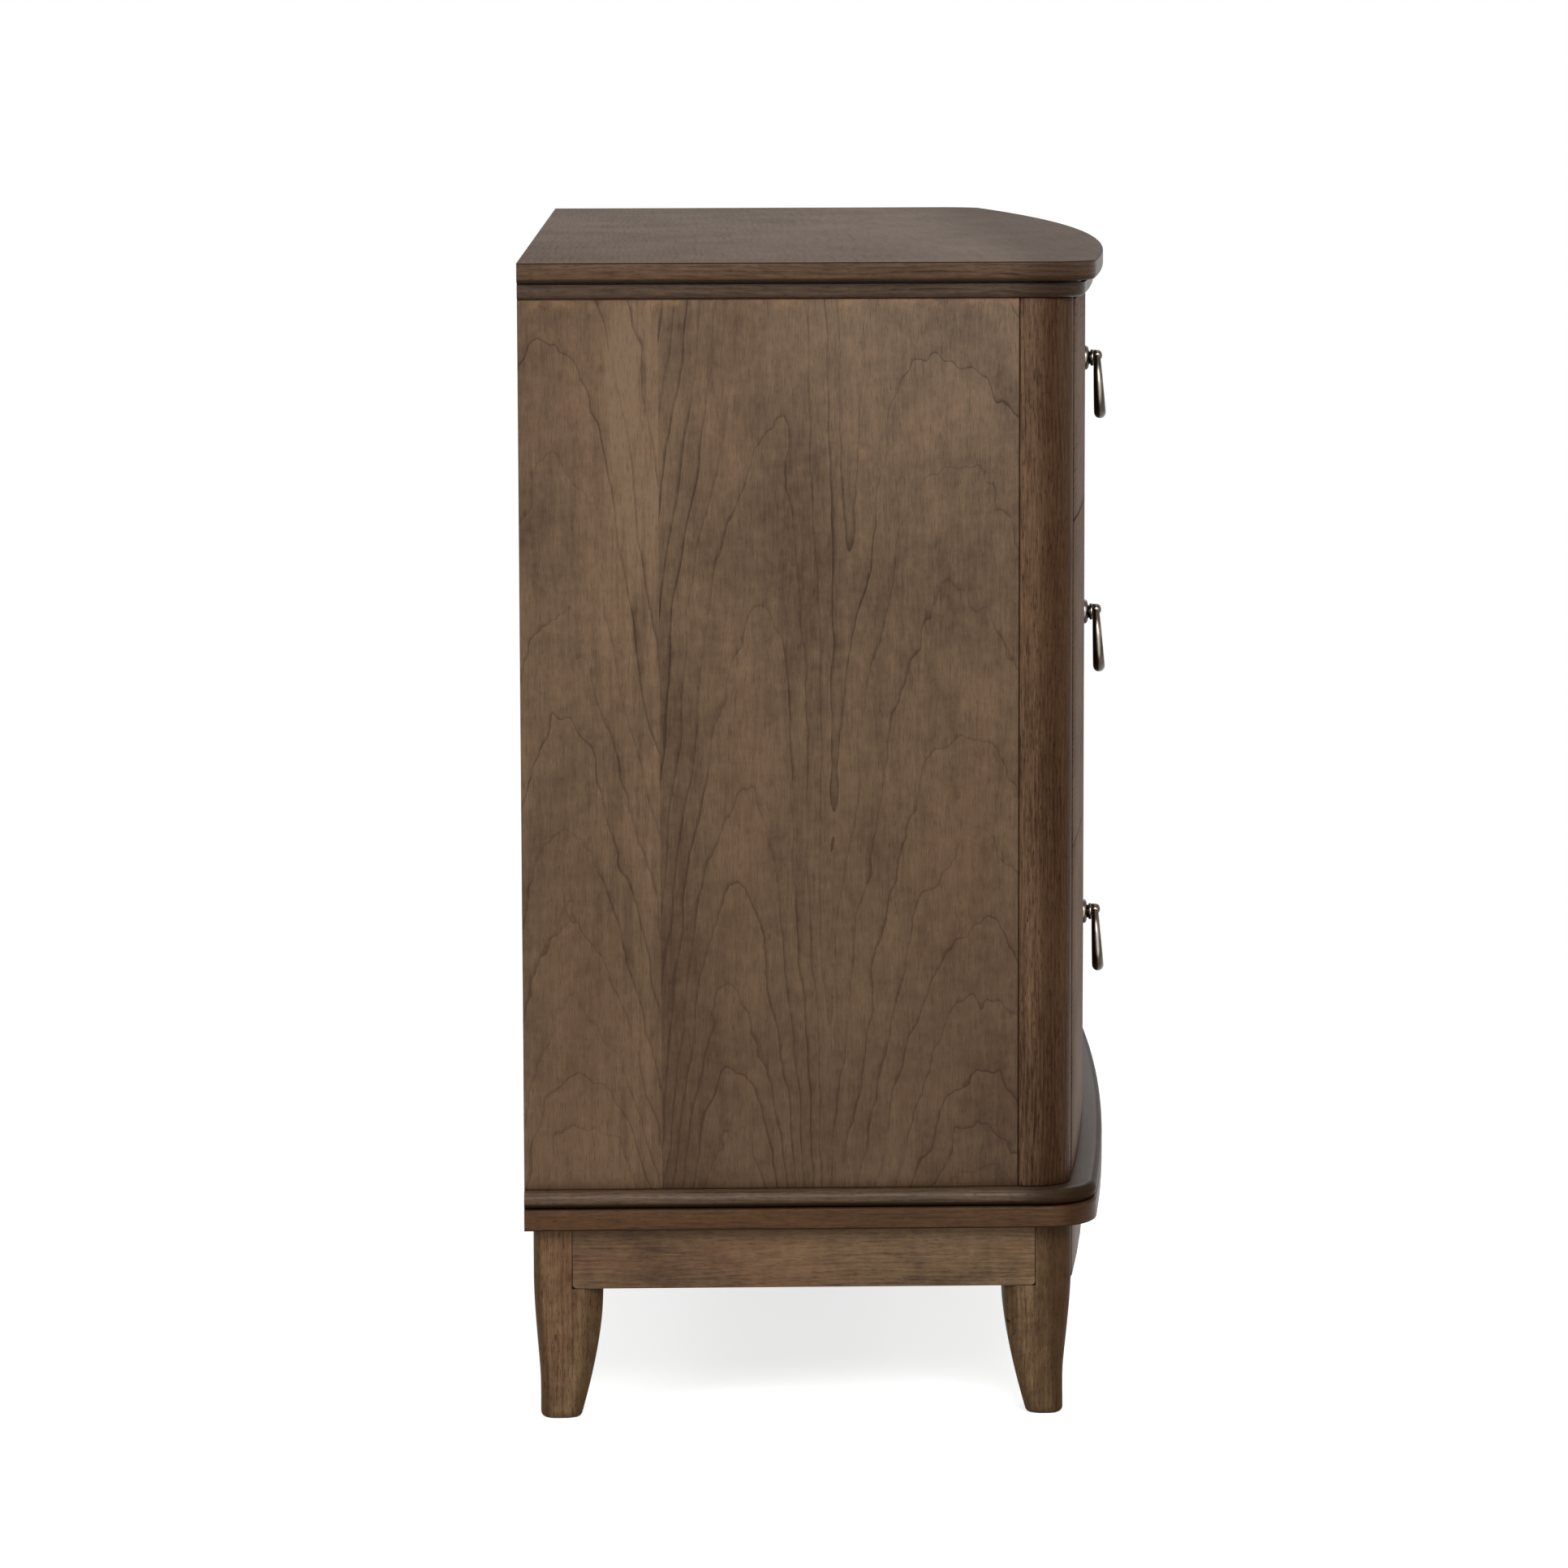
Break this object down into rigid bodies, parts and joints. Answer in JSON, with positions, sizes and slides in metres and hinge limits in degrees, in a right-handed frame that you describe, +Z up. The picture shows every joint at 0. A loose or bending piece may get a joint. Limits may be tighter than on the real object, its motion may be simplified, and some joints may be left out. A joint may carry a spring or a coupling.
{
  "type": "dresser",
  "caption": "Wide bow-front dresser on sabre legs, with dovetailed wooden drawers that slide on runners and hanging ring pulls.",
  "frame": {"origin": "on the floor, under the centre of the object's box", "axes": "+Z up, +X along the width, the drawers open towards -Y"},
  "size_m": [1.65, 0.5253, 0.965],
  "materials": {
    "top_wood": "satin lacquer over grey-brown stained cherry-type veneer",
    "edge_wood": "satin lacquer over dark brown stained hardwood mouldings",
    "case_veneer": "satin lacquer over brown stained figured veneer",
    "post_wood": "satin lacquer over reddish brown stained hardwood",
    "front_wood": "satin lacquer over brown stained veneer",
    "leg_wood": "satin lacquer over brown stained open-grained hardwood",
    "box_wood": "clear sealed pale hardwood",
    "plywood": "clear sealed thin plywood",
    "pewter": "cast metal with an aged pewter plating"
  },
  "bodies": {
    "case": {"top_panel": "top_wood", "sub_top": "edge_wood", "left_side_panel": "case_veneer", "right_side_panel": "case_veneer", "left_corner_post": "post_wood", "right_corner_post": "post_wood", "centre_partition": "case_veneer", "top_rails": "box_wood", "drawer_rails": "edge_wood", "drawer_runners": "box_wood", "drawer_stops": "box_wood", "back_panel": "plywood", "case_bottom": "edge_wood", "base_board": "edge_wood", "front_apron": "leg_wood", "rear_apron": "leg_wood", "left_apron": "leg_wood", "right_apron": "leg_wood", "front_left_leg": "leg_wood", "front_right_leg": "leg_wood", "rear_left_leg": "leg_wood", "rear_right_leg": "leg_wood", "corner_braces": "box_wood", "centre_leg": "leg_wood"},
    "top_left_drawer": {"top_left_front": "front_wood", "top_left_sides": "box_wood", "top_left_back": "box_wood", "top_left_bottom": "plywood", "top_left_pull": "pewter"},
    "top_left_ring_body": {"top_left_ring": "pewter"},
    "top_right_drawer": {"top_right_front": "front_wood", "top_right_sides": "box_wood", "top_right_back": "box_wood", "top_right_bottom": "plywood", "top_right_pull": "pewter"},
    "top_right_ring_body": {"top_right_ring": "pewter"},
    "mid_left_drawer": {"mid_left_front": "front_wood", "mid_left_sides": "box_wood", "mid_left_back": "box_wood", "mid_left_bottom": "plywood", "mid_left_pull": "pewter"},
    "mid_left_ring_body": {"mid_left_ring": "pewter"},
    "mid_right_drawer": {"mid_right_front": "front_wood", "mid_right_sides": "box_wood", "mid_right_back": "box_wood", "mid_right_bottom": "plywood", "mid_right_pull": "pewter"},
    "mid_right_ring_body": {"mid_right_ring": "pewter"},
    "low_left_drawer": {"low_left_front": "front_wood", "low_left_sides": "box_wood", "low_left_back": "box_wood", "low_left_bottom": "plywood", "low_left_pull": "pewter"},
    "low_left_ring_body": {"low_left_ring": "pewter"},
    "low_right_drawer": {"low_right_front": "front_wood", "low_right_sides": "box_wood", "low_right_back": "box_wood", "low_right_bottom": "plywood", "low_right_pull": "pewter"},
    "low_right_ring_body": {"low_right_ring": "pewter"}
  },
  "joints": [
    {"name": "top_left_slide", "type": "slide", "parent": "case", "child": "top_left_drawer", "axis": [0, -1, 0], "range_m": [0, 0.3]},
    {"name": "top_left_ring_swing", "type": "hinge", "parent": "top_left_drawer", "child": "top_left_ring_body", "pos_m": [-0.39, -0.24597, 0.8645], "axis": [-0.9977, 0.068, 0], "range_deg": [0, 160]},
    {"name": "top_right_slide", "type": "slide", "parent": "case", "child": "top_right_drawer", "axis": [0, -1, 0], "range_m": [0, 0.3]},
    {"name": "top_right_ring_swing", "type": "hinge", "parent": "top_right_drawer", "child": "top_right_ring_body", "pos_m": [0.39, -0.24597, 0.8645], "axis": [-0.9977, -0.068, 0], "range_deg": [0, 160]},
    {"name": "mid_left_slide", "type": "slide", "parent": "case", "child": "mid_left_drawer", "axis": [0, -1, 0], "range_m": [0, 0.3]},
    {"name": "mid_left_ring_swing", "type": "hinge", "parent": "mid_left_drawer", "child": "mid_left_ring_body", "pos_m": [-0.39, -0.24597, 0.63525], "axis": [-0.9977, 0.068, 0], "range_deg": [0, 160]},
    {"name": "mid_right_slide", "type": "slide", "parent": "case", "child": "mid_right_drawer", "axis": [0, -1, 0], "range_m": [0, 0.3]},
    {"name": "mid_right_ring_swing", "type": "hinge", "parent": "mid_right_drawer", "child": "mid_right_ring_body", "pos_m": [0.39, -0.24597, 0.63525], "axis": [-0.9977, -0.068, 0], "range_deg": [0, 160]},
    {"name": "low_left_slide", "type": "slide", "parent": "case", "child": "low_left_drawer", "axis": [0, -1, 0], "range_m": [0, 0.3]},
    {"name": "low_left_ring_swing", "type": "hinge", "parent": "low_left_drawer", "child": "low_left_ring_body", "pos_m": [-0.39, -0.24597, 0.3615], "axis": [-0.9977, 0.068, 0], "range_deg": [0, 160]},
    {"name": "low_right_slide", "type": "slide", "parent": "case", "child": "low_right_drawer", "axis": [0, -1, 0], "range_m": [0, 0.3]},
    {"name": "low_right_ring_swing", "type": "hinge", "parent": "low_right_drawer", "child": "low_right_ring_body", "pos_m": [0.39, -0.24597, 0.3615], "axis": [-0.9977, -0.068, 0], "range_deg": [0, 160]}
  ]
}
